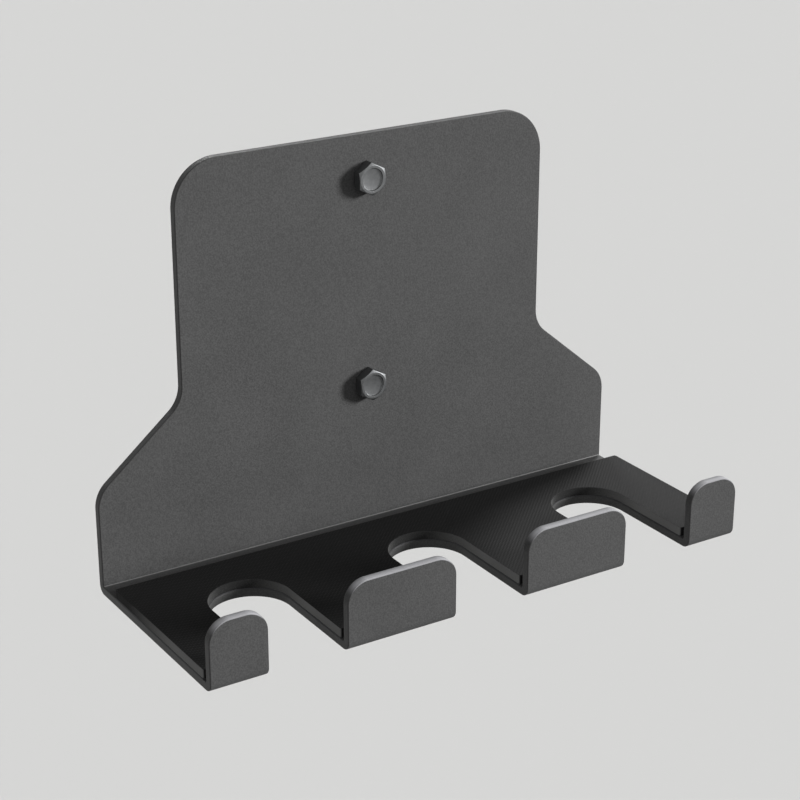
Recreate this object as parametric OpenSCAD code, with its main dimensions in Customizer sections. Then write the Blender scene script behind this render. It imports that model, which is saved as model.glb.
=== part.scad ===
// Wall rack that holds three barbells upright: one laser-cut and folded steel bracket with
// three bar slots, a rubber liner glued on its shelf, and two lag bolts in their wall plugs.
// Millimetres. X runs along the wall, +Y into the wall and +Z up. The wall face is Y = 0,
// and the origin lies half way between the two bolt holes.

/* [Back plate] */
// Width of the upper part of the back plate
plate_w = 228.6; // [170:0.1:260]
// Height from the underside of the shelf to the top edge
plate_h = 228.6; // [200:0.1:320]
// Radius of the two top corners
top_r = 25.4; // [6:0.1:60]
// Height above the underside at which the sides slope inwards
shoulder_h = 57.2; // [45:0.1:70]
// Angle of the shoulders above the horizontal
shoulder_angle = 40; // [30:1:55]
// Radius that blends each end of a shoulder
shoulder_r = 18; // [4:0.5:25]

/* [Steel sheet] */
// Thickness of the sheet
steel_t = 4.76; // [3:0.01:8]
// Inside radius of both folds
fold_r = 0.5; // [0.3:0.1:4]

/* [Shelf] */
// Width of the shelf and of the back plate below its shoulders
shelf_w = 330.2; // [300:0.1:420]
// Depth from the wall face to the front of the lips
shelf_d = 128; // [110:0.5:180]
// Height of the lips above the underside of the shelf
lip_h = 38.1; // [24:0.1:60]
// Radius of the top corners of each lip
lip_r = 12; // [2:0.5:16]

/* [Bar slots] */
// Number of slots
slot_count = 3; // [1:1:3]
// Distance between the middles of neighbouring slots
slot_pitch = 110.1; // [70:0.1:112]
// Width of each slot and of the gap between two lips
slot_w = 45; // [30:0.5:52]
// Distance from the wall face to the middle of each round end
seat_y = 68; // [60:0.5:78]

/* [Shelf liner] */
// Thickness of the rubber
liner_t = 5; // [2:0.1:10]
// Thickness of the adhesive film under it
film_t = 0.5; // [0.2:0.1:1.5]
// Bare strip between the back plate and the liner
liner_back_gap = 15.2; // [4:0.1:20]
// Gap between the liner and the lips
liner_front_gap = 2.8; // [1:0.1:8]

/* [Bolts] */
// Diameter of the two bolt holes
hole_d = 12.7; // [12.4:0.1:13.2]
// Distance from the top edge down to the upper bolt hole
hole_drop = 24; // [16:0.1:40]
// Distance between the two bolt holes
hole_pitch = 117.5; // [90:0.1:130]
// Head width across the flats
head_af = 16; // [15.5:0.1:18]
// Head height
head_h = 6.4; // [4:0.1:9]
// Angle of the chamfer that rounds off the head's corners
head_chamfer = 30; // [15:1:35]
// Diameter of the recess in the head
dish_d = 12.5; // [6:0.1:13.5]
// Depth of that recess
dish_depth = 1.2; // [0.4:0.1:2]
// Diameter of the plain neck under the head
neck_d = 10; // [9:0.1:10.4]
// Length of that neck
neck_len = 9; // [9:0.5:24]
// Diameter of the threaded length, measured in the root of the thread
root_d = 7.2; // [6:0.1:8]
// Length of the bolt under its head
bolt_len = 80; // [76:1:100]
// Length of the point
point_len = 8; // [4:0.5:9]

/* [Wall plugs] */
// Outside diameter
plug_d = 11.8; // [11.6:0.05:11.9]
// Length
plug_len = 60; // [50:1:62]
// Smooth length at the mouth
plug_collar = 14; // [8:0.5:16]
// Distance between two gripping rings
ring_pitch = 4; // [3:0.5:6]
// Depth of the gripping rings
ring_depth = 0.6; // [0.2:0.05:0.7]
// Width of the four expansion slits
slit_w = 1.6; // [0.8:0.1:2]
// Unslit length that holds the jaws together at the inner end
nose_len = 6; // [4:0.5:8]
// Clearance between the bolt and the plug, in its bore and at its mouth
plug_clearance = 0.05; // [0.02:0.01:0.1]

/* [Hidden] */
$fn = 96;
// How far a cut runs past the surface that it opens
past = 1;
// Outside radius of both folds
fold_out = fold_r + steel_t;
// Height of the origin above the underside of the shelf
origin_h = plate_h - hole_drop - hole_pitch / 2;
// Middle of each slot
slot_xs = [for (i = [0:slot_count - 1]) (i - (slot_count - 1) / 2) * slot_pitch];
// Left and right edge of each lip
lip_spans = [for (i = [0:slot_count])
    [i == 0 ? -shelf_w / 2 : slot_xs[i - 1] + slot_w / 2,
     i == slot_count ? shelf_w / 2 : slot_xs[i] - slot_w / 2]];
// Back and front edge of the liner
liner_y = -steel_t - liner_back_gap;
liner_front_y = -shelf_d + steel_t + liner_front_gap;
// The recess in a head narrows by this much on each side on its way in
dish_taper = 0.7;
// The flat circle on a head is this share of the width across the flats
head_flat = 0.95;
// Diameter of the blunt end of a bolt's point
point_flat_d = 1;
// A plug's nose is this much smaller in radius than its collar
plug_nose_taper = 1.5;
colour_steel = [0.27, 0.27, 0.28];
colour_rubber = [0.1, 0.1, 0.1];
colour_film = [0.2, 0.2, 0.21];
colour_zinc = [0.62, 0.63, 0.65];
colour_nylon = [0.6, 0.61, 0.6];

// Puts a shape measured from the underside of the shelf into the part's own frame
module from_shelf() {
    translate([0, 0, -origin_h]) children();
}

// Extrudes an outline drawn in X and Z from y0 towards the room to y1
module through_y(y0, y1) {
    translate([0, y0, 0]) rotate([90, 0, 0]) linear_extrude(y0 - y1) children();
}

// Extrudes an outline drawn in Y and Z along the whole width of the shelf
module along_x() {
    rotate([90, 0, 90]) translate([0, 0, -shelf_w / 2]) linear_extrude(shelf_w) children();
}

// Turns a shape built upwards from z = 0 so that it runs into the wall from the plane y
module into_wall(y, z) {
    translate([0, y, z]) rotate([-90, 0, 0]) children();
}

// Copies a shape to both sides of the middle plane
module both_sides() {
    children();
    mirror([1, 0, 0]) children();
}

// The area between a corner p and the arc of radius r that touches both of its edges, whose
// directions are the angles a and b. Its tip runs past the corner, so that it cuts or joins cleanly.
module corner_fill(p, a, b, r) {
    half = abs(a - b) / 2;
    middle = [cos((a + b) / 2), sin((a + b) / 2)];
    reach = r / tan(half);
    centre = p + r / sin(half) * middle;
    difference() {
        polygon([p - past * middle, p + reach * [cos(a), sin(a)], centre, p + reach * [cos(b), sin(b)]]);
        translate(centre) circle(r);
    }
}

// Right half of the back plate's outline in X and Z, with sloping shoulder and round corners
module half_plate() {
    run = (shelf_w - plate_w) / 2;
    low = [shelf_w / 2, shoulder_h];
    high = [plate_w / 2, shoulder_h + run * tan(shoulder_angle)];
    top = [plate_w / 2, plate_h];
    slope = 180 - shoulder_angle;
    difference() {
        union() {
            polygon([[0, 0], [shelf_w / 2, 0], low, high, top, [0, plate_h]]);
            corner_fill(high, slope - 180, 90, shoulder_r);
        }
        corner_fill(low, slope, 270, shoulder_r);
        corner_fill(top, 180, 270, top_r);
    }
}

// One fold seen from the side, a quarter ring that turns from the shelf into an upright
module fold_profile() {
    intersection() {
        difference() {
            circle(fold_out);
            circle(fold_r);
        }
        translate([0, -fold_out]) square(fold_out);
    }
}

// The folded sheet seen from the side, in Y and Z: back plate, shelf and lip
module sheet_profile() {
    translate([-steel_t, fold_out]) square([steel_t, plate_h - fold_out]);
    translate([-fold_out, fold_out]) fold_profile();
    translate([-shelf_d + fold_out, 0]) square([shelf_d - 2 * fold_out, steel_t]);
    translate([-shelf_d + fold_out, fold_out]) mirror([1, 0]) fold_profile();
    translate([-shelf_d, fold_out]) square([steel_t, lip_h - fold_out]);
}

// Plan of the bar slots: round ends that run out through the front
module slot_plan() {
    for (x = slot_xs) {
        translate([x, -seat_y]) circle(d = slot_w);
        translate([x - slot_w / 2, -shelf_d - past]) square([slot_w, shelf_d + past - seat_y]);
    }
}

// What is cut off the sheet round the back plate
module plate_trim() {
    through_y(past, -steel_t - past) difference() {
        translate([-shelf_w / 2 - past, fold_out]) square([shelf_w + 2 * past, plate_h]);
        both_sides() half_plate();
    }
}

// What is cut off the top corners of the lips
module lip_trim() {
    through_y(-shelf_d + steel_t + past, -shelf_d - past)
    for (span = lip_spans) {
        r = min(lip_r, (span[1] - span[0]) / 2, lip_h - fold_out);
        corner_fill([span[0], lip_h], -90, 0, r);
        corner_fill([span[1], lip_h], 180, 270, r);
    }
}

module bracket() {
    color(colour_steel) from_shelf() difference() {
        along_x() sheet_profile();
        plate_trim();
        lip_trim();
        translate([0, 0, -past]) linear_extrude(lip_h + 2 * past) slot_plan();
        for (z = [0, hole_pitch])
            into_wall(-steel_t - past, origin_h - hole_pitch / 2 + z)
                cylinder(h = steel_t + 2 * past, d = hole_d);
    }
}

// Plan of the liner, flush with the shelf's ends and with the slots
module liner_plan() {
    difference() {
        translate([-shelf_w / 2, liner_front_y]) square([shelf_w, liner_y - liner_front_y]);
        slot_plan();
    }
}

module liner_adhesive() {
    color(colour_film) from_shelf()
        translate([0, 0, steel_t]) linear_extrude(film_t) liner_plan();
}

module shelf_liner() {
    color(colour_rubber) from_shelf()
        translate([0, 0, steel_t + film_t]) linear_extrude(liner_t) liner_plan();
}

// Hexagonal head with chamfered corners and a recessed top, which lies at z = 0
module hex_head() {
    flat_r = head_flat * head_af / 2;
    corner_r = head_af / sqrt(3);
    chamfer_h = (corner_r - flat_r) * tan(head_chamfer);
    dish_r = dish_d / 2;
    difference() {
        intersection() {
            rotate(30) cylinder(h = head_h, r = corner_r, $fn = 6);
            rotate_extrude() polygon([[0, 0], [flat_r, 0], [corner_r, chamfer_h],
                [corner_r + past, chamfer_h], [corner_r + past, head_h + past], [0, head_h + past]]);
        }
        cylinder(h = 2 * dish_depth, r1 = dish_r + dish_taper, r2 = dish_r - dish_taper, center = true);
    }
}

// Lag bolt whose head has its top at z = 0 and whose shank runs up from it: plain neck,
// threaded length at the width of the thread's root, and point
module lag_bolt() {
    tip = head_h + bolt_len;
    neck_end = head_h + neck_len;
    root_in = (head_h + dish_depth) / 2;
    union() {
        hex_head();
        rotate_extrude() polygon([[0, root_in], [neck_d / 2, root_in], [neck_d / 2, neck_end],
            [root_d / 2, neck_end], [root_d / 2, tip - point_len], [point_flat_d / 2, tip], [0, tip]]);
    }
}

module bolt_at(z) {
    color(colour_zinc) into_wall(-steel_t - head_h, z) lag_bolt();
}

module upper_bolt() {
    bolt_at(hole_pitch / 2);
}

module lower_bolt() {
    bolt_at(-hole_pitch / 2);
}

// Nylon expansion plug standing on its mouth: smooth collar, saw-tooth rings and tapered nose
module wall_plug() {
    r = plug_d / 2;
    ring_count = floor((plug_len - plug_collar - nose_len) / ring_pitch);
    rings_end = plug_collar + ring_count * ring_pitch;
    teeth = [for (i = [0:ring_count - 1], k = [0, 1])
        [r - (k == 0 ? ring_depth : 0), plug_collar + (i + k) * ring_pitch]];
    difference() {
        rotate_extrude() polygon(concat(
            [[0, 0], [r, 0], [r, plug_collar]],
            teeth,
            [[r - ring_depth, rings_end], [r - plug_nose_taper, plug_len], [0, plug_len]]));
        translate([0, 0, -past])
            cylinder(h = plug_len + 2 * past, d = root_d + 2 * plug_clearance);
        for (turn = [0, 90])
            rotate(turn) translate([-slit_w / 2, -plug_d, plug_collar])
                cube([slit_w, 2 * plug_d, plug_len - nose_len - plug_collar]);
    }
}

// A plug sits in the wall behind the bolt's neck, so that only the thread spreads it
module plug_at(z) {
    color(colour_nylon) into_wall(neck_len - steel_t + plug_clearance, z) wall_plug();
}

module upper_wall_plug() {
    plug_at(hole_pitch / 2);
}

module lower_wall_plug() {
    plug_at(-hole_pitch / 2);
}

bracket();
shelf_liner();
liner_adhesive();
upper_bolt();
lower_bolt();
upper_wall_plug();
lower_wall_plug();
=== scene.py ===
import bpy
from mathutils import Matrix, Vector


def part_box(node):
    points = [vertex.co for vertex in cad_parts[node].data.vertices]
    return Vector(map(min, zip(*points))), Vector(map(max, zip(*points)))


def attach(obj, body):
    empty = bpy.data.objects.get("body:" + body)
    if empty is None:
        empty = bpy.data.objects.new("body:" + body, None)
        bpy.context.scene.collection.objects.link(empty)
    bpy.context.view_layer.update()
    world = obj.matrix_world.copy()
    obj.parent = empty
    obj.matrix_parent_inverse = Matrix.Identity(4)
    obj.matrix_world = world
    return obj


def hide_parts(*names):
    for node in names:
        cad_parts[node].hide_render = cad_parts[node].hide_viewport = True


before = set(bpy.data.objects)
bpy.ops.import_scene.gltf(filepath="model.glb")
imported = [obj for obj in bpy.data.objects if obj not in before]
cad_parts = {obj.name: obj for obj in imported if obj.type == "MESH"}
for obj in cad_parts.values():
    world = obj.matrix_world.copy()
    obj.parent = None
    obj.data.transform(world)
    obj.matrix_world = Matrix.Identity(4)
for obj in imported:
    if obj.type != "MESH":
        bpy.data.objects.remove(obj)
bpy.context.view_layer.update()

import math

import bpy
import numpy as np
from mathutils import Vector
from mathutils.geometry import delaunay_2d_cdt

mm = 0.001
print("frame loaded:", ", ".join(sorted(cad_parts)))


def boxInMm(node):
    low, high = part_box(node)
    return np.array(low) / mm, np.array(high) / mm


# Camera: the photograph's own view, solved from the rack's straight edges
viewSet = {
    "place": (-0.540901, -0.893503, 0.348478),  # metres
    "turn": -0.563703,  # radians, to the right
    "tilt": -0.382120,  # radians, downwards
    "lens": 90.507,  # mm
    "sensor": 36,  # mm wide
    "clip": (0.05, 80),  # metres
}


def addCamera():
    data = bpy.data.cameras.new("view")
    data.sensor_width = viewSet["sensor"]
    data.lens = viewSet["lens"]
    data.clip_start, data.clip_end = viewSet["clip"]
    camera = bpy.data.objects.new("view", data)
    camera.location = viewSet["place"]
    camera.rotation_euler = (math.pi / 2 + viewSet["tilt"], 0, viewSet["turn"])
    bpy.context.scene.collection.objects.link(camera)
    bpy.context.scene.camera = camera


addCamera()
print("camera placed")


# Materials
def linearColour(code):
    # an sRGB hex value as linear light: c / 12.92 when dark, else ((c + 0.055) / 1.055) ^ 2.4
    srgb = np.array([int(code[i : i + 2], 16) for i in (1, 3, 5)]) / 255
    linear = np.where(srgb <= 0.04045, srgb / 12.92, ((srgb + 0.055) / 1.055) ** 2.4)
    return (*linear.tolist(), 1.0)


def addNode(tree, kind, settings=None, links=None):
    # Settings go to the node's own properties or to its inputs, and links join other nodes' outputs to its
    # inputs. A Mix node has its factor at input 0, two numbers at 2 and 3 (output 0), and two colours at 6
    # and 7 (output 2).
    node = tree.nodes.new("ShaderNode" + kind)
    for key, value in (settings or {}).items():
        if isinstance(key, str) and hasattr(node, key):
            setattr(node, key, value)
        else:
            node.inputs[key].default_value = value
    for key, socket in (links or {}).items():
        tree.links.new(socket, node.inputs[key])
    return node


def newMaterial(name):
    material = bpy.data.materials.new(name)
    material.use_nodes = True
    material.node_tree.nodes.clear()
    return material, material.node_tree


def grains(tree, place, width, detail=2.0):
    # noise whose blobs are about width mm across; most of it lies in 0.3..0.7, which is spread to fill 0..1
    noise = addNode(tree, "TexNoise", {"Scale": 1 / (width * mm), "Detail": detail}, {"Vector": place})
    return addNode(
        tree, "MapRange", {"From Min": 0.3, "From Max": 0.7}, {"Value": noise.outputs[0]}
    ).outputs[0]


def bumps(tree, heights):
    # stacks height patterns given as (output, depth in mm)
    normal = None
    for height, depth in heights:
        links = {"Height": height} | ({"Normal": normal} if normal else {})
        normal = addNode(tree, "Bump", {"Distance": depth * mm}, links).outputs[0]
    return normal


# Polyester powder coat, sprayed on steel and baked: a satin dark grey film that shows the powder's grain and
# the long soft waves of a coat that has flowed. On the sheet's edges it lies thinner and smoother, and in the
# folds it gathers, so a thin line gleams along them. The lips' top edges get a painted highlight: a paler
# colour that stands in for the light they catch.
coatSet = {
    "face": {"dark": "#464646", "light": "#5b5b5b", "roughness": (0.50, 0.66), "shine": 0.12, "depth": 0.03},
    "edge": {"dark": "#414141", "light": "#505050", "roughness": (0.42, 0.50), "shine": 0.12, "depth": 0.008},
    "fold": {"dark": "#464646", "light": "#5b5b5b", "roughness": (0.40, 0.48), "shine": 1.0, "depth": 0.008},
    # painted highlight: the paler colour on the lips' top edges, standing in for the light they catch
    "paintedHighlight": "#9c9c9f",
    "highlightBelow": (7, 1),  # mm below a lip's top where the painted highlight starts and is full
    "highlightBehind": (5, 1),  # mm behind a lip's front where it starts to grow and is full
    "highlightLeast": 0.35,  # share of it at the back of a lip's top
    "highlightReach": 20,  # mm behind the lips' front, past which no edge gets the painted highlight
    "grain": 0.9,  # mm; the real grain is about 0.2 mm, too fine to show
    "grainShare": 0.8,  # of the colour's unevenness; the rest is cloudiness
    "wave": 4.0,  # mm
    "waveDepth": 0.02,  # mm
    "patch": 45,  # mm, size of the faint cloudiness
}


def paintedHighlightShare(tree, place, lipTop, lipFront):
    # 0..1, the share of painted highlight: a ramp up to a lip's top, times a ramp from the edge's back to its
    #                                       front, and 0 behind the lips
    axes = addNode(tree, "SeparateXYZ", links={0: place}).outputs
    below, behind = coatSet["highlightBelow"], coatSet["highlightBehind"]
    ramps = (
        ("Z", lipTop - below[0], lipTop - below[1], 0),
        ("Y", lipFront + behind[0], lipFront + behind[1], coatSet["highlightLeast"]),
    )
    smooth = {"interpolation_type": "SMOOTHSTEP"}
    low, front = (
        addNode(
            tree,
            "MapRange",
            smooth | {"From Min": start * mm, "From Max": end * mm, "To Min": least},
            {"Value": axes[axis]},
        ).outputs[0]
        for axis, start, end, least in ramps
    )
    reach = {"operation": "LESS_THAN", 1: (lipFront + coatSet["highlightReach"]) * mm}
    near = addNode(tree, "Math", reach, {0: axes["Y"]}).outputs[0]
    both = addNode(tree, "Math", {"operation": "MULTIPLY"}, {0: low, 1: front}).outputs[0]
    return addNode(tree, "Math", {"operation": "MULTIPLY"}, {0: both, 1: near}).outputs[0]


def powderCoat(name, look, lip=None):
    # lip is the height and the front of the lips' tops, for the coat that gets the painted highlight
    material, tree = newMaterial(name)
    place = addNode(tree, "TexCoord").outputs["Object"]
    grain = grains(tree, place, coatSet["grain"])
    wave = grains(tree, place, coatSet["wave"], detail=1.0)
    patch = grains(tree, place, coatSet["patch"])
    uneven = {"data_type": "FLOAT", 0: coatSet["grainShare"]}
    cloud = addNode(tree, "Mix", uneven, {2: patch, 3: grain}).outputs[0]
    greys = {"data_type": "RGBA", 6: linearColour(look["dark"]), 7: linearColour(look["light"])}
    colour = addNode(tree, "Mix", greys, {0: cloud}).outputs[2]
    if lip:
        # the lips' top edges are painted paler here, as a highlight
        pale = {"data_type": "RGBA", 7: linearColour(coatSet["paintedHighlight"])}
        colour = addNode(tree, "Mix", pale, {0: paintedHighlightShare(tree, place, *lip), 6: colour}).outputs[2]
    least, most = look["roughness"]
    roughness = addNode(tree, "MapRange", {"To Min": least, "To Max": most}, {"Value": grain}).outputs[0]
    shader = addNode(
        tree,
        "BsdfPrincipled",
        {"Specular IOR Level": look["shine"]},
        {
            "Base Color": colour,
            "Roughness": roughness,
            "Normal": bumps(tree, [(wave, coatSet["waveDepth"]), (grain, look["depth"])]),
        },
    )
    addNode(tree, "OutputMaterial", links={"Surface": shader.outputs[0]})
    return material


# Vulcanised rubber sheet, pressed with small diamonds: near black and dull, a shade greyer where the diamonds
# have been rubbed. Cutting opens the rubber at its sides and leaves them crumbly. The cut sides carry painted
# light: paler towards the front and where they face left or right, and dark at the slots' ends, for the light
# and shade that fall there.
rubberSet = {
    "hollow": "#1b1b1b",  # between the pressed diamonds
    "ridge": "#2b2b2b",
    "roughness": (0.55, 0.70),
    "shine": 0.07,
    "pitch": 1.7,  # mm, from ridge to ridge of the pressed pattern
    "depth": 0.12,  # mm
    "crumb": 0.5,  # mm, grain of the rubber
    "crumbDepth": 0.02,  # mm
    # the cut sides' own near black, kept this dark partly as painted shade at the slots' ends
    "cut": "#282828",
    "cutDepth": 0.08,  # mm, of the crumbs on the cut sides
    "cutRoughness": 0.85,
    # painted light: the paler colour put on the cut sides to stand in for the light falling on them
    "paintedLightColour": "#7f7f7e",
    "paintedLightFrom": -36,  # Y in mm, which is 0 at the plate's back
    "paintedLightTo": -88,  # Y in mm, where the painted light is full
    "paintedLightTurn": 0.2,  # share of a side's facing that is left or right, below which it stays as cut
    "paintedLightRight": 0.33,  # the most painted light on a side facing right
    "paintedLightUneven": 0.08,  # how far the crumbs vary the painted light
}


def pressedRubber():
    material, tree = newMaterial("pressed_rubber")
    place = addNode(tree, "TexCoord").outputs["Object"]
    ridges = []
    for angle in (45, -45):
        turned = addNode(
            tree, "Mapping", {"Rotation": (0, 0, math.radians(angle))}, {"Vector": place}
        ).outputs[0]
        # a wave texture of scale s has a ridge every 2 pi / (20 s) of a unit along its axis
        ridges.append(
            addNode(
                tree,
                "TexWave",
                {"bands_direction": "X", "Scale": 2 * math.pi / (20 * rubberSet["pitch"] * mm)},
                {"Vector": turned},
            ).outputs["Fac"]
        )
    press = addNode(tree, "Math", {"operation": "MULTIPLY"}, {0: ridges[0], 1: ridges[1]}).outputs[0]
    crumb = grains(tree, place, rubberSet["crumb"])
    greys = {"data_type": "RGBA", 6: linearColour(rubberSet["hollow"]), 7: linearColour(rubberSet["ridge"])}
    least, most = rubberSet["roughness"]
    roughness = addNode(tree, "MapRange", {"To Min": least, "To Max": most}, {"Value": press}).outputs[0]
    shader = addNode(
        tree,
        "BsdfPrincipled",
        {"Specular IOR Level": rubberSet["shine"]},
        {
            "Base Color": addNode(tree, "Mix", greys, {0: press}).outputs[2],
            "Roughness": roughness,
            "Normal": bumps(tree, [(press, rubberSet["depth"]), (crumb, rubberSet["crumbDepth"])]),
        },
    )
    addNode(tree, "OutputMaterial", links={"Surface": shader.outputs[0]})
    return material


def cutRubber():
    # Painted light: the paler colour grows towards the front, times how far a side faces left or right, so it
    # fades out round a slot's end, which is left dark as painted shade. On sides that face right it is held
    # lower.
    material, tree = newMaterial("cut_rubber")
    where = addNode(tree, "TexCoord").outputs
    place, turn = where["Object"], rubberSet["paintedLightTurn"]
    crumb = grains(tree, place, rubberSet["crumb"], detail=3.0)
    reach = addNode(tree, "SeparateXYZ", links={0: place}).outputs["Y"]
    ends = {"From Min": rubberSet["paintedLightFrom"] * mm, "From Max": rubberSet["paintedLightTo"] * mm}
    towardsFront = addNode(tree, "MapRange", ends, {"Value": reach}).outputs[0]
    across = addNode(tree, "SeparateXYZ", links={0: where["Normal"]}).outputs["X"]
    sideways = addNode(tree, "Math", {"operation": "ABSOLUTE"}, {0: across}).outputs[0]
    facing = {"interpolation_type": "SMOOTHSTEP", "From Min": turn}
    beside = addNode(tree, "MapRange", facing, {"Value": sideways}).outputs[0]
    both = addNode(tree, "Math", {"operation": "MULTIPLY"}, {0: towardsFront, 1: beside}).outputs[0]
    most = {"From Min": -turn, "From Max": turn, "To Min": 1, "To Max": rubberSet["paintedLightRight"]}
    limit = addNode(tree, "MapRange", most, {"Value": across}).outputs[0]
    paintedLightMask = addNode(tree, "Math", {"operation": "MINIMUM"}, {0: both, 1: limit}).outputs[0]
    spread = {"To Min": -rubberSet["paintedLightUneven"], "To Max": rubberSet["paintedLightUneven"]}
    uneven = addNode(tree, "MapRange", spread, {"Value": crumb}).outputs[0]
    share = addNode(tree, "Math", {"operation": "ADD", "use_clamp": True}, {0: paintedLightMask, 1: uneven}).outputs[0]
    greys = {"data_type": "RGBA", 6: linearColour(rubberSet["cut"]), 7: linearColour(rubberSet["paintedLightColour"])}
    colour = addNode(tree, "Mix", greys, {0: share}).outputs[2]
    shader = addNode(
        tree,
        "BsdfPrincipled",
        {"Roughness": rubberSet["cutRoughness"], "Specular IOR Level": rubberSet["shine"]},
        {"Base Color": colour, "Normal": bumps(tree, [(crumb, rubberSet["cutDepth"])])},
    )
    addNode(tree, "OutputMaterial", links={"Surface": shader.outputs[0]})
    return material


# Zinc plate on cold-forged steel: a dull grey metal, a little uneven, with faint scratches from the tumbling
zincSet = {
    "colour": "#68696a",
    "cloud": "#5f6061",
    "roughness": (0.43, 0.55),
    "spangle": 2.5,  # mm
    "scratch": 0.35,  # mm
    "depth": 0.006,  # mm
}


def zincPlate():
    material, tree = newMaterial("zinc_plate")
    place = addNode(tree, "TexCoord").outputs["Object"]
    spangle = grains(tree, place, zincSet["spangle"])
    scratch = grains(tree, place, zincSet["scratch"], detail=4.0)
    greys = {"data_type": "RGBA", 6: linearColour(zincSet["colour"]), 7: linearColour(zincSet["cloud"])}
    least, most = zincSet["roughness"]
    roughness = addNode(tree, "MapRange", {"To Min": least, "To Max": most}, {"Value": scratch}).outputs[0]
    shader = addNode(
        tree,
        "BsdfPrincipled",
        {"Metallic": 1.0},
        {
            "Base Color": addNode(tree, "Mix", greys, {0: spangle}).outputs[2],
            "Roughness": roughness,
            "Normal": bumps(tree, [(scratch, zincSet["depth"])]),
        },
    )
    addNode(tree, "OutputMaterial", links={"Surface": shader.outputs[0]})
    return material


# Injection-moulded polyamide: an even light grey plastic with a soft sheen and a fine spark-eroded skin
nylonSet = {
    "colour": "#8f918f",
    "shade": "#878987",
    "roughness": (0.42, 0.55),
    "skin": 0.4,  # mm
    "depth": 0.01,  # mm
    "flow": 9.0,  # mm
    "glow": 0.15,  # share of the light that enters the plastic and comes out again
    "glowReach": 1.0,  # mm
}


def mouldedNylon():
    material, tree = newMaterial("moulded_nylon")
    place = addNode(tree, "TexCoord").outputs["Object"]
    skin = grains(tree, place, nylonSet["skin"])
    flow = grains(tree, place, nylonSet["flow"])
    greys = {"data_type": "RGBA", 6: linearColour(nylonSet["colour"]), 7: linearColour(nylonSet["shade"])}
    least, most = nylonSet["roughness"]
    roughness = addNode(tree, "MapRange", {"To Min": least, "To Max": most}, {"Value": skin}).outputs[0]
    shader = addNode(
        tree,
        "BsdfPrincipled",
        {"Subsurface Weight": nylonSet["glow"], "Subsurface Scale": nylonSet["glowReach"] * mm},
        {
            "Base Color": addNode(tree, "Mix", greys, {0: flow}).outputs[2],
            "Roughness": roughness,
            "Normal": bumps(tree, [(skin, nylonSet["depth"])]),
        },
    )
    addNode(tree, "OutputMaterial", links={"Surface": shader.outputs[0]})
    return material


# Acrylic foam tape: dark grey and quite matt, with the fine open cells of a cut foam
foamSet = {
    "colour": "#444446",
    "cellColour": "#363638",
    "cell": 0.3,  # mm
    "depth": 0.05,  # mm
    "roughness": 0.9,
}


def foamTape():
    material, tree = newMaterial("foam_tape")
    place = addNode(tree, "TexCoord").outputs["Object"]
    cells = addNode(
        tree, "TexVoronoi", {"Scale": 1 / (foamSet["cell"] * mm)}, {"Vector": place}
    ).outputs["Distance"]
    greys = {"data_type": "RGBA", 6: linearColour(foamSet["cellColour"]), 7: linearColour(foamSet["colour"])}
    colour = addNode(tree, "Mix", greys, {0: cells}).outputs[2]
    shader = addNode(
        tree,
        "BsdfPrincipled",
        {"Roughness": foamSet["roughness"]},
        {"Base Color": colour, "Normal": bumps(tree, [(cells, foamSet["depth"])])},
    )
    addNode(tree, "OutputMaterial", links={"Surface": shader.outputs[0]})
    return material


steelCoat = powderCoat("powder_coat", coatSet["face"])
foldCoat = powderCoat("powder_coat_in_folds", coatSet["fold"])
linerRubber = pressedRubber()
linerCut = cutRubber()
boltZinc = zincPlate()
plugNylon = mouldedNylon()
filmFoam = foamTape()
print("materials made")


# Outlines. Sizes in mm, and two tolerances: the shortest step kept, and a zero with its rounding error.
shortest, almostZero = 1e-6, 1e-9


def unit(vectors):
    return vectors / np.linalg.norm(vectors, axis=-1, keepdims=True)


def roundedOutline(corners, step):
    # Points, directions and owning corner of a path through corners (u, v, radius). Each corner becomes the
    # arc that touches both of its edges: its centre lies on the bisector, radius / sin(half the angle) away.
    corners = np.array(corners, float)
    at, radius = corners[:, :2], corners[:, 2]
    back, ahead = (unit(np.roll(at, shift, axis=0) - at) for shift in (1, -1))
    half = np.arccos(np.clip((back * ahead).sum(1), -1, 1)) / 2
    side = np.sign(back[:, 1] * ahead[:, 0] - back[:, 0] * ahead[:, 1])
    turn = (np.pi - 2 * half) * side
    centre = at + unit(back + ahead) * (radius / np.sin(half))[:, None]
    start = at + back * (radius / np.tan(half))[:, None] - centre
    first = np.arctan2(start[:, 1], start[:, 0])
    count = np.where(radius > 0, np.ceil(np.abs(turn) * radius / step), 0).astype(int) + 1
    owner = np.repeat(np.arange(len(corners)), count)
    share = np.concatenate([np.linspace(0, 1, n) for n in count])
    angle = first[owner] + turn[owner] * share
    ring = np.stack([np.cos(angle), np.sin(angle)], 1)
    points = centre[owner] + radius[owner, None] * ring
    heading = np.stack([-ring[:, 1], ring[:, 0]], 1) * side[owner, None]
    keep = np.linalg.norm(points - np.roll(points, 1, axis=0), axis=1) > shortest
    return points[keep], heading[keep], owner[keep]


def crossingPoints(points, heading, levels):
    # adds a point wherever the closed outline crosses one of the v levels, by linear interpolation
    closed = np.hstack([points, heading])
    closed = np.vstack([closed, closed[:1]])
    low, high = closed[:-1, 1], closed[1:, 1]
    rise = np.where(np.abs(high - low) < almostZero, np.inf, high - low)
    share = (np.asarray(levels)[:, None] - low) / rise
    index = np.arange(len(low))
    crossed = (index + share)[(share > shortest) & (share < 1 - shortest)]
    where = np.sort(np.concatenate([index, crossed]))
    full = np.stack([np.interp(where, np.arange(len(closed)), column) for column in closed.T], 1)
    return full[:, :2], unit(full[:, 2:])


def circleOutline(centre, radius, count):
    # a hole's edge, run clockwise so that the material lies on its left
    angle = np.linspace(0, -2 * np.pi, count, endpoint=False)
    ring = np.stack([np.cos(angle), np.sin(angle)], 1)
    return np.array(centre) + radius * ring, np.stack([ring[:, 1], -ring[:, 0]], 1)


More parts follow.
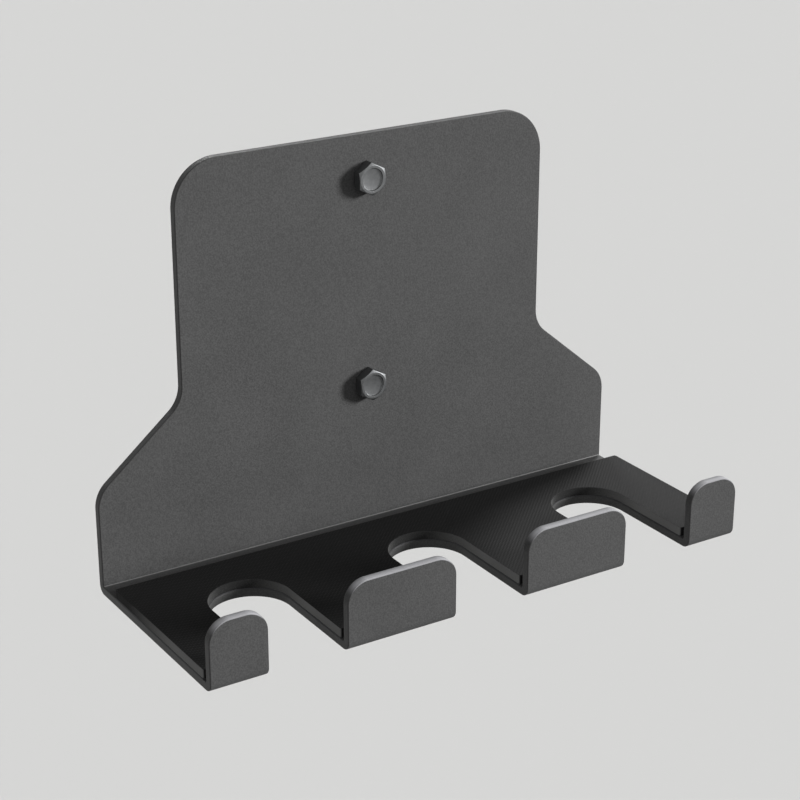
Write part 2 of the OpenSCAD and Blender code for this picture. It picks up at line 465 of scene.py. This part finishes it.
def addObject(name, vertices, faces, materials, normals=None, wears=None):
    # wears gives each face's place in the list of materials
    mesh = bpy.data.meshes.new(name)
    mesh.from_pydata((vertices * mm).tolist(), [], faces)
    mesh.shade_smooth()
    if normals is not None:
        mesh.normals_split_custom_set_from_vertices(normals.tolist())
    for material in materials:
        mesh.materials.append(material)
    if wears is not None:
        mesh.polygons.foreach_set("material_index", wears)
    piece = bpy.data.objects.new(name, mesh)
    bpy.context.scene.collection.objects.link(piece)
    return piece


def sheetPiece(name, loops, thickness, ease, steps, place, levels, materials):
    # A sheet with eased edges. Its rim is a profile carried along each loop: two quarter arcs of radius ease
    # joined by a straight wall, inset inwards from the outline and down from the first face. The faces between
    # the rims are triangulated in the flat, with edges along the levels, and place() then folds every point
    # (u, v, w). A loop holds points, directions and, for the rim after each point, a place in the list of
    # materials.
    arc = np.linspace(0, np.pi / 2, steps + 1)
    inset = ease * np.concatenate([1 - np.sin(arc), 1 - np.cos(arc)])
    down = np.concatenate([ease * (1 - np.cos(arc)), thickness - ease * (1 - np.sin(arc))])
    outward = np.concatenate([np.sin(arc), np.cos(arc)])
    downward = np.concatenate([-np.cos(arc), np.sin(arc)])
    rimSize = len(inset)
    flat, normal, rimFaces, wears, loopEdges, begin = [], [], [], [], [], 0
    for points, heading, wear in loops:
        inward = np.stack([-heading[:, 1], heading[:, 0]], 1)
        count = len(points)
        rim = points[:, None] + inward[:, None] * inset[None, :, None]
        flat.append(np.dstack([rim, np.broadcast_to(down, (count, rimSize))]))
        tilt = -inward[:, None] * outward[None, :, None]
        normal.append(np.dstack([tilt, np.broadcast_to(downward, (count, rimSize))]))
        here = np.arange(begin, begin + count)
        after = np.roll(here, -1)
        row, column = here[:, None] * rimSize, np.arange(rimSize - 1)[None, :]
        nextRow = after[:, None] * rimSize
        quads = np.dstack([row + column, row + column + 1, nextRow + column + 1, nextRow + column])
        rimFaces.append(quads.reshape(-1, 4))
        wears.append(np.repeat(wear, rimSize - 1))
        loopEdges.append(np.stack([here, after], 1))
        begin += count
    flat, normal = np.concatenate(flat), np.concatenate(normal)
    top = flat[:, 0, :2]
    creases = []
    for level in levels:
        on = np.flatnonzero(np.abs(flat[:, -1, 1] - level) < shortest)
        creases.append(on[np.argsort(top[on, 0])].reshape(-1, 2))
    edges = np.concatenate(loopEdges + creases)
    insideWithHoles = 2
    made = delaunay_2d_cdt(top.tolist(), edges.tolist(), [], insideWithHoles, almostZero)
    triangles = np.array(made[2])
    assert len(made[0]) == len(top)
    a, b, c = (top[triangles[:, k]] for k in range(3))
    area = (b - a)[:, 0] * (c - a)[:, 1] - (b - a)[:, 1] * (c - a)[:, 0]
    triangles = np.where(area[:, None] > 0, triangles, triangles[:, ::-1])
    faces = np.concatenate(rimFaces).tolist()
    faces += (triangles * rimSize).tolist()
    faces += (triangles[:, ::-1] * rimSize + rimSize - 1).tolist()
    vertices, axes = place(flat.reshape(-1, 3))
    normals = np.einsum("nk,nkj->nj", normal.reshape(-1, 3), axes)
    wears = np.concatenate(wears + [np.zeros(2 * len(triangles), int)])
    return addObject(name, vertices, faces, materials, normals, wears)


# Bracket: one steel sheet, cut flat and folded up at the back and at the front.
# Sizes in mm, angles in degrees.
sheetSet = {
    "plateWidth": 228.6,
    "topRadius": 25.4,
    "shoulderHeight": 57.2,
    "shoulderAngle": 40,
    "shoulderRadius": 18,
    "lipHeight": 38.1,
    "lipRadius": 12,
    "slotWidth": 45,
    "slotPitch": 110.1,
    "seatDepth": 68,
    "foldRadius": 0.5,
    "holeSize": 12.7,
    "ease": 0.6,  # radius of the coated edges
    "easeSteps": 5,
    "arcStep": 0.8,
    "foldSteps": 10,
    "holeSteps": 64,
}
sheetLow, sheetHigh = boxInMm("bracket")
filmLow, _ = boxInMm("liner_adhesive")
linerLow, linerHigh = boxInMm("shelf_liner")
boltBoxes = {name: boxInMm(name) for name in ("upper_bolt", "lower_bolt")}
underside = sheetLow[2]
steelThickness = filmLow[2] - underside
foldOut = sheetSet["foldRadius"] + steelThickness
foldLength = math.pi / 2 * (sheetSet["foldRadius"] + steelThickness / 2)
shelfRun = -sheetLow[1] - 2 * foldOut
slotCentres = sheetSet["slotPitch"] * np.array([-1, 0, 1])
halfSlot = sheetSet["slotWidth"] / 2
shelfEnds = [sheetLow[0], sheetHigh[0]]
lipEdges = np.sort(np.concatenate([shelfEnds, slotCentres - halfSlot, slotCentres + halfSlot]))
lipSpans = lipEdges.reshape(-1, 2)
lipTops = (underside + sheetSet["lipHeight"], sheetLow[1])  # their height and their front
# the coat on the edges carries the painted highlight on the lips' tops
edgeCoat = powderCoat("powder_coat_on_edges", coatSet["edge"], lipTops)


def comb(front, slotEnd, radius):
    # the slotted front edge, from left to right: each tongue's two corners, and a round end in each gap
    corners = []
    for number, (left, right) in enumerate(lipSpans):
        if number > 0:
            corners.append((left, slotEnd, halfSlot))
        corners += [(left, front, radius), (right, front, radius)]
        if number < len(lipSpans) - 1:
            corners.append((right, slotEnd, halfSlot))
    return corners


def levelOnPlate(height):
    # distance along the sheet of a height above the underside, counted from the start of the back fold
    return foldLength + height - foldOut


def foldSheet(points):
    # Folds the flat sheet. v runs along it: 0 is where the shelf meets the back fold, and -shelfRun where it
    # meets the front one. In a fold a point turns about the fold's axis at radius foldRadius + w, and past it
    # the point runs straight up.
    u, v, w = points.T
    rear = np.clip(v / foldLength, 0, 1) * np.pi / 2
    fore = np.clip((-shelfRun - v) / foldLength, 0, 1) * np.pi / 2
    rise = np.maximum(v - foldLength, 0) + np.maximum(-shelfRun - foldLength - v, 0)
    radius = sheetSet["foldRadius"] + w
    lean, flatness = np.sin(rear) - np.sin(fore), np.cos(rear + fore)
    y = -foldOut + np.clip(v, -shelfRun, 0) + radius * lean
    z = underside + foldOut - radius * flatness + rise
    zero, one = np.zeros_like(u), np.ones_like(u)
    axes = np.stack([[one, zero, zero], [zero, flatness, lean], [zero, lean, -flatness]])
    return np.stack([u, y, z], 1), axes.transpose(2, 0, 1)


def coatFolds(piece):
    # The inside of a fold wears the third material. The faces there are flat, so their centres lie a little
    # nearer to the fold's axis than its radius.
    faces = piece.data.polygons
    centres, wears = np.empty(3 * len(faces)), np.empty(len(faces), int)
    faces.foreach_get("center", centres)
    faces.foreach_get("material_index", wears)
    away = centres.reshape(-1, 3)[:, 1:] / mm
    distances = [np.hypot(*(away - (y, underside + foldOut)).T) for y in (-foldOut, sheetLow[1] + foldOut)]
    justInside = 0.999 * sheetSet["foldRadius"]
    wears[np.min(distances, axis=0) < justInside] = 2
    faces.foreach_set("material_index", wears)


def makeBracket():
    halfShelf, halfPlate = sheetHigh[0], sheetSet["plateWidth"] / 2
    climb = (halfShelf - halfPlate) * math.tan(math.radians(sheetSet["shoulderAngle"]))
    low = levelOnPlate(sheetSet["shoulderHeight"])
    high = levelOnPlate(sheetSet["shoulderHeight"] + climb)
    top = levelOnPlate(sheetHigh[2] - underside)
    lipTop = -shelfRun - foldLength - (sheetSet["lipHeight"] - foldOut)
    slotEnd = foldOut - sheetSet["seatDepth"] + halfSlot
    right = [
        (halfShelf, low, sheetSet["shoulderRadius"]),
        (halfPlate, high, sheetSet["shoulderRadius"]),
        (halfPlate, top, sheetSet["topRadius"]),
    ]
    left = [(-u, v, radius) for u, v, radius in reversed(right)]
    corners = comb(lipTop, slotEnd, sheetSet["lipRadius"]) + right + left
    rows = np.linspace(0, foldLength, sheetSet["foldSteps"] + 1)
    levels = np.concatenate([rows, -shelfRun - rows])
    points, heading, _ = roundedOutline(corners, sheetSet["arcStep"])
    outlines = [crossingPoints(points, heading, levels)]
    for low3, high3 in boltBoxes.values():
        height = (low3[2] + high3[2]) / 2 - underside
        centre = (0, levelOnPlate(height))
        outlines.append(circleOutline(centre, sheetSet["holeSize"] / 2, sheetSet["holeSteps"]))
    loops = [(*outline, np.ones(len(outline[0]), int)) for outline in outlines]
    coats = [steelCoat, edgeCoat, foldCoat]
    ease, steps = sheetSet["ease"], sheetSet["easeSteps"]
    piece = sheetPiece("folded_sheet", loops, steelThickness, ease, steps, foldSheet, levels, coats)
    coatFolds(piece)
    return piece


bracket = makeBracket()
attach(bracket, "root")
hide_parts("bracket")
print("bracket folded:", len(bracket.data.polygons), "faces")


# Shelf liner: a rubber pad with the shelf's slots. Sizes in mm.
linerSet = {"cornerRadius": 1.2, "ease": 0.4, "easeSteps": 3, "arcStep": 1.0}


def layLiner(points):
    u, v, w = points.T
    place = np.stack([u, v, linerHigh[2] - w], 1)
    return place, np.broadcast_to(np.diag([1.0, 1.0, -1.0]), (len(u), 3, 3))


def makeLiner():
    radius = linerSet["cornerRadius"]
    corners = comb(linerLow[1], halfSlot - sheetSet["seatDepth"], radius)
    corners += [(linerHigh[0], linerHigh[1], radius), (linerLow[0], linerHigh[1], radius)]
    points, heading, _ = roundedOutline(corners, linerSet["arcStep"])
    loops = [(points, heading, np.ones(len(points), int))]
    thickness = linerHigh[2] - linerLow[2]
    ease, steps = linerSet["ease"], linerSet["easeSteps"]
    return sheetPiece("rubber_pad", loops, thickness, ease, steps, layLiner, [], [linerRubber, linerCut])


liner = makeLiner()
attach(liner, "root")
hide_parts("shelf_liner")
print("liner laid:", len(liner.data.polygons), "faces")


# Lag bolts: cold-forged hexagon head with a pressed recess, plain neck, rolled thread and gimlet point.
# Sizes in mm, angles in degrees.
boltSet = {
    "chamferAngle": 30,
    "flatShare": 0.95,  # of the width across the flats
    "dishSize": 12.5,
    "dishDepth": 1.2,
    "dishTaper": 0.25,  # how much smaller in radius the recess is at its floor than at its rim
    "bowl": 0.35,  # rise of the recess's floor from its middle to its edge
    "neckSize": 10,
    "neckLength": 9,
    "neckTaper": 0.5,  # length of the cone from the neck to the root
    "rootSize": 7.2,
    "crestSize": 10,
    "pointLength": 8,
    "tipSize": 1,
    "cornerRound": 0.5,
    # radii along the profile: the recess's floor and rim, the top's edge, the chamfer's foot, the seat and
    # neck, and the start of the point
    "rounds": {"floor": 0.2, "rim": 0.12, "top": 0.2, "side": 0.25, "seat": 0.3, "point": 3},
    "threadPitch": 4.5,
    "threadBase": 1.7,  # width of the ridge at its foot
    "threadCrest": 0.12,  # width of its top
    "threadSunk": 0.25,  # how deep its foot lies in the root
    "threadFrom": 1.2,  # past the neck
    "threadTo": 0.8,  # before the tip
    "fadeLength": 10,
    "fadePast": 1,  # how far past the start of the point the fade would reach zero
    "fadeLeast": (0.02, 0.2),  # of the ridge's height, at its start and at the point
    "startWidth": 0.35,  # of the ridge's width, at its start
    "pointNarrowing": 0.6,  # of its width, lost along the point
    "turnSteps": 48,
    "bowlSteps": 6,
    "flatSteps": 11,
    "cornerSteps": 8,
    "arcStep": 0.08,
    "flatness": 60,  # how much the large faces rule the shading at an edge
    "turned": {"upper_bolt": 2.3, "lower_bolt": 1.2},  # as the two heads were left
}


def hexagonAngles(acrossFlats):
    # angles round the head, close together on its rounded corners; flats face 0, 60, 120 degrees and so on
    touch = math.atan2((acrossFlats / 2 - boltSet["cornerRound"]) * math.tan(math.pi / 6), acrossFlats / 2)
    flat = np.linspace(-touch, touch, boltSet["flatSteps"])
    corner = np.linspace(touch, math.pi / 3 - touch, boltSet["cornerSteps"])[1:-1]
    sector = np.concatenate([flat, corner])
    return np.add.outer(np.arange(6) * math.pi / 3, sector).ravel()


def hexagonRadius(angle, acrossFlats):
    # distance from the axis to a hexagon's side, or near a corner to the arc that rounds it off
    offset = np.abs((angle + np.pi / 6) % (np.pi / 3) - np.pi / 6)
    cornerRound = boltSet["cornerRound"]
    centre = (acrossFlats / 2 - cornerRound) / math.cos(math.pi / 6)
    lean = np.pi / 6 - offset
    flat = acrossFlats / 2 / np.cos(offset)
    arc = centre * np.cos(lean) + np.sqrt(np.maximum(cornerRound**2 - (centre * np.sin(lean)) ** 2, 0))
    touch = math.atan2(centre / 2, acrossFlats / 2)
    return np.where(offset < touch, flat, arc)


def boltSurface(acrossFlats, headHeight, length):
    # Rows of (radius, height above the seat) for each angle. The rows of the head's outer corners follow the
    # hexagon: they move out with its radius, and down along the chamfer's cone.
    slope = math.tan(math.radians(boltSet["chamferAngle"]))
    flatRadius = boltSet["flatShare"] * acrossFlats / 2
    wide = acrossFlats / 2
    dish, taper = boltSet["dishSize"] / 2, boltSet["dishTaper"]
    neck, root, tip = boltSet["neckSize"] / 2, boltSet["rootSize"] / 2, boltSet["tipSize"] / 2
    floor = headHeight - boltSet["dishDepth"]
    rounds, neckEnd = boltSet["rounds"], boltSet["neckLength"]
    share = np.linspace(0, 1, boltSet["bowlSteps"] + 1)[:-1]
    bowl = [((dish - taper) * s, floor + boltSet["bowl"] * s * s, 0) for s in share]
    corners = bowl + [
        (dish - taper, floor + boltSet["bowl"], rounds["floor"]),
        (dish, headHeight, rounds["rim"]),
        (flatRadius, headHeight, rounds["top"]),
        (wide, headHeight - (wide - flatRadius) * slope, rounds["side"]),
        (wide, 0, rounds["seat"]),
        (neck, 0, rounds["seat"]),
        (neck, -neckEnd + boltSet["neckTaper"], rounds["seat"]),
        (root, -neckEnd, rounds["seat"]),
        (root, -(length - boltSet["pointLength"]), rounds["point"]),
        (tip, -length, rounds["seat"]),
        (0, -length, 0),
    ]
    profile, _, owner = roundedOutline(corners, boltSet["arcStep"])
    angle = hexagonAngles(acrossFlats)
    growth = hexagonRadius(angle, acrossFlats) - wide
    shoulder = len(bowl) + 3  # past the recess's two corners and the edge of the top
    outer, cone = np.isin(owner, (shoulder, shoulder + 1)), owner == shoulder
    radius = profile[:, :1] + outer[:, None] * growth
    height = profile[:, 1:] - cone[:, None] * growth * slope
    return radius, height, angle


def bandQuads(index):
    # quads between neighbouring rows of points, where each row closes on itself
    beside = np.roll(index, -1, axis=1)
    return np.dstack([index[:-1], index[1:], beside[1:], beside[:-1]]).reshape(-1, 4)


def surfaceFaces(rows, columns):
    # quads between neighbouring rows, and a fan at each end, where the whole row is one point
    index = np.arange((rows - 2) * columns).reshape(rows - 2, columns) + 1
    beside = np.roll(index, -1, axis=1)
    last = (rows - 2) * columns + 1
    head = np.stack([np.zeros(columns, int), index[0], beside[0]], 1)
    foot = np.stack([np.full(columns, last), beside[-1], index[-1]], 1)
    return bandQuads(index).tolist() + head.tolist() + foot.tolist()


def threadRidge(length):
    # A closed V-shaped ridge carried along a helix. Its foot is sunk in the root, which narrows along the
    # point, and its height fades in at the neck and out over the last turns before the point.
    pitch, base = boltSet["threadPitch"], boltSet["threadBase"]
    root, tip = boltSet["rootSize"] / 2, boltSet["tipSize"] / 2
    begin, end = boltSet["neckLength"] + boltSet["threadFrom"], length - boltSet["threadTo"]
    turns = (end - begin) / pitch
    angle = np.linspace(0, turns * 2 * np.pi, int(turns * boltSet["turnSteps"]))
    depth = begin + pitch * angle / (2 * np.pi)
    along = np.clip((depth - (length - boltSet["pointLength"])) / boltSet["pointLength"], 0, 1)
    foot = root + (tip - root) * along
    leastIn, leastOut = boltSet["fadeLeast"]
    fadeIn = np.clip(angle / np.pi, leastIn, 1)
    left = length - depth - boltSet["pointLength"] + boltSet["fadePast"]
    fadeOut = np.clip(left / boltSet["fadeLength"], leastOut, 1)
    tall = (boltSet["crestSize"] / 2 - root) * fadeIn * fadeOut
    narrow = boltSet["startWidth"]
    wide = base * (narrow + (1 - narrow) * fadeIn) * (1 - boltSet["pointNarrowing"] * along)
    sunk, crest = boltSet["threadSunk"], boltSet["threadCrest"] / 2 * np.ones_like(wide)
    radial = np.stack([foot - sunk, foot + tall, foot + tall, foot - sunk], 1)
    axial = np.stack([-wide / 2, -crest, crest, wide / 2], 1)
    sections, corners = radial.shape
    index = np.arange(sections * corners).reshape(sections, corners)
    caps = [index[0].tolist(), index[-1][::-1].tolist()]
    return radial, -(depth[:, None] + axial), angle, bandQuads(index), caps


def makeBolt(node, name):
    low, high = boltBoxes[node]
    acrossFlats = high[0] - low[0]
    seat = -steelThickness
    headHeight, length = seat - low[1], high[1] - seat
    axisHeight = (low[2] + high[2]) / 2

    def standUp(radius, height, angle):
        return np.dstack([radius * np.cos(angle), seat - height, axisHeight + radius * np.sin(angle)])

    radius, height, angle = boltSurface(acrossFlats, headHeight, length)
    turned = angle + math.radians(boltSet["turned"][node])
    surface = standUp(radius, height, turned)
    vertices = np.concatenate([surface[0, :1], surface[1:-1].reshape(-1, 3), surface[-1, :1]])
    faces = surfaceFaces(*radius.shape)
    radial, tall, twist, quads, caps = threadRidge(length)
    ridge = standUp(radial, tall, twist[:, None]).reshape(-1, 3)
    shift = len(vertices)
    faces += (quads + shift).tolist() + [[i + shift for i in cap] for cap in caps]
    piece = addObject(name, np.concatenate([vertices, ridge]), faces, [boltZinc])
    piece.modifiers.new("flatFaces", "WEIGHTED_NORMAL").weight = boltSet["flatness"]
    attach(piece, "root")
    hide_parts(node)
    return piece


for node, name in (("upper_bolt", "upper_lag_bolt"), ("lower_bolt", "lower_lag_bolt")):
    bolt = makeBolt(node, name)
    print(name, "turned:", len(bolt.data.polygons), "faces")


# CAD nodes that keep their own shape
for node, material in (
    ("liner_adhesive", filmFoam),
    ("upper_wall_plug", plugNylon),
    ("lower_wall_plug", plugNylon),
):
    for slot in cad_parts[node].material_slots:
        slot.material = material
print("plugs and film finished")


# Studio: a pale floor far below, and soft lamps at the right, in front, at the left, above and behind
studioSet = {
    "floorColour": "#c8c8c7",
    "floorBounce": 0.12,  # share of light that the floor sends back up
    "floorDepth": -1.25,  # metres
    "floorHalf": 30,  # metres, half its width
    "skyColour": "#d4d4d3",
    "skyFill": 0.09,  # strength of the light from all round
    "lamps": {
        # direction that the light comes from, strength in W/m2, spread in degrees
        "key": ((0.82, -0.53, 0.21), 4.4, 14),
        "front": ((0.10, -0.82, 0.56), 0.38, 50),
        "left": ((-0.93, -0.12, 0.34), 0.62, 50),
        "above": ((0.53, 0.42, 0.76), 2.5, 16),
        "behind": ((0.25, 0.96, 0.08), 1.8, 20),
    },
}


def addLamp(name, source, strength, spread):
    data = bpy.data.lights.new(name, "SUN")
    data.energy = strength
    data.angle = math.radians(spread)
    lamp = bpy.data.objects.new(name, data)
    lamp.rotation_euler = Vector(source).to_track_quat("Z", "Y").to_euler()
    bpy.context.scene.collection.objects.link(lamp)


def shownRays(tree):
    # 1 for the rays that show the background: straight from the camera, in a reflection or through glass
    path = addNode(tree, "LightPath").outputs
    either = {"operation": "MAXIMUM"}
    seen = addNode(tree, "Math", either, {0: path["Is Camera Ray"], 1: path["Is Glossy Ray"]}).outputs[0]
    return addNode(tree, "Math", either, {0: seen, 1: path["Is Transmission Ray"]}).outputs[0]


def addSky():
    world = bpy.data.worlds.new("studio")
    world.use_nodes = True
    tree = world.node_tree
    tree.nodes.clear()
    seen = shownRays(tree)
    fill = addNode(tree, "Background", {"Color": (1, 1, 1, 1), "Strength": studioSet["skyFill"]})
    shown = addNode(tree, "Background", {"Color": linearColour(studioSet["skyColour"]), "Strength": 1.0})
    mixed = addNode(tree, "MixShader", links={0: seen, 1: fill.outputs[0], 2: shown.outputs[0]})
    addNode(tree, "OutputWorld", links={"Surface": mixed.outputs[0]})
    bpy.context.scene.world = world


def addFloor():
    half, depth = studioSet["floorHalf"], studioSet["floorDepth"]
    mesh = bpy.data.meshes.new("floor")
    square = [(-half, -half, depth), (half, -half, depth), (half, half, depth), (-half, half, depth)]
    mesh.from_pydata(square, [], [(0, 1, 2, 3)])
    material, tree = newMaterial("painted_floor")
    pale = addNode(tree, "BsdfDiffuse", {"Color": linearColour(studioSet["floorColour"])})
    dim = addNode(tree, "BsdfDiffuse", {"Color": (*[studioSet["floorBounce"]] * 3, 1)})
    seen = shownRays(tree)
    mixed = addNode(tree, "MixShader", links={0: seen, 1: dim.outputs[0], 2: pale.outputs[0]})
    addNode(tree, "OutputMaterial", links={"Surface": mixed.outputs[0]})
    mesh.materials.append(material)
    floor = bpy.data.objects.new("floor", mesh)
    bpy.context.scene.collection.objects.link(floor)


for name, (source, strength, spread) in studioSet["lamps"].items():
    addLamp(name, source, strength, spread)
addSky()
addFloor()
bpy.context.scene.view_settings.view_transform = "Standard"
print("studio lit")
